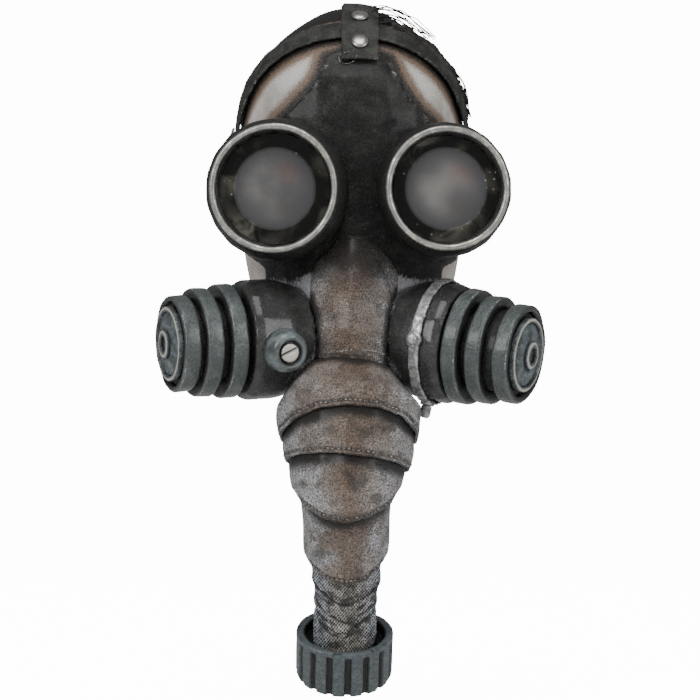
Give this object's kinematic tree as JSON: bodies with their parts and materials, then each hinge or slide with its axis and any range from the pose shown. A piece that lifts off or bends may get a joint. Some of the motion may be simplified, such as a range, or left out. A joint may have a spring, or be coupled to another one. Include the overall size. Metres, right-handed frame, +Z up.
{
  "type": "gas mask style costume mask",
  "caption": "Costume mask in gas mask style: rubber facepiece over a pale face, round goggles, side canisters, leather trunk with cloth hose and ribbed cap, strap harness.",
  "frame": {"origin": "inside of the crown, where the wearer's head carries the mask", "axes": "+Z up, the face looks to -Y, +X to the viewer's right"},
  "size_m": [0.2849, 0.2609, 0.5156],
  "materials": {
    "latex_skin": "matte painted latex",
    "rubber_black": "worn satin rubber",
    "canister_body": "satin painted latex",
    "silver_paint": "silver paint, brushed",
    "goggle_lens": "smoky clear plastic",
    "trunk_leather": "grained, silver dry-brushed",
    "canister_band": "satin painted latex",
    "canister_core": "matte",
    "hose_cloth": "wrinkled woven cloth",
    "cap_paint": "satin paint",
    "strap": "worn faux leather",
    "rivet": "dull",
    "hair": "synthetic fibre"
  },
  "bodies": {
    "root": {"back_strap": "strap", "brow_band": "strap", "crown_strap": "strap", "face_rubber": "rubber_black", "face_shell": "latex_skin", "hair_tuft": "hair", "hose": "hose_cloth", "hose_cap": "cap_paint", "left_back_rivet": "rivet", "left_canister_band_1": "canister_band", "left_canister_band_2": "canister_band", "left_canister_band_3": "canister_band", "left_canister_body": "canister_body", "left_canister_core": "canister_core", "left_end_disc": "canister_band", "left_end_eyelet": "silver_paint", "left_end_ring": "silver_paint", "left_eye_cup": "rubber_black", "left_eye_lens": "goggle_lens", "left_eye_rim": "silver_paint", "left_knob": "canister_body", "left_screw": "rivet", "left_temple_rivet": "rivet", "middle_back_rivet": "rivet", "nose_panel": "trunk_leather", "right_back_rivet": "rivet", "right_canister_band_1": "canister_band", "right_canister_band_2": "canister_band", "right_canister_band_3": "canister_band", "right_canister_body": "canister_body", "right_canister_core": "canister_core", "right_clamp": "silver_paint", "right_clamp_bolt": "rivet", "right_clamp_stud": "rivet", "right_end_disc": "canister_band", "right_end_eyelet": "silver_paint", "right_end_ring": "silver_paint", "right_eye_cup": "rubber_black", "right_eye_lens": "goggle_lens", "right_eye_rim": "silver_paint", "right_temple_rivet": "rivet", "rivet_lower": "rivet", "rivet_tab": "strap", "rivet_upper": "rivet", "trunk_flap_1": "trunk_leather", "trunk_flap_2": "trunk_leather", "trunk_flap_3": "trunk_leather", "trunk_flap_4": "trunk_leather"}
  },
  "joints": []
}
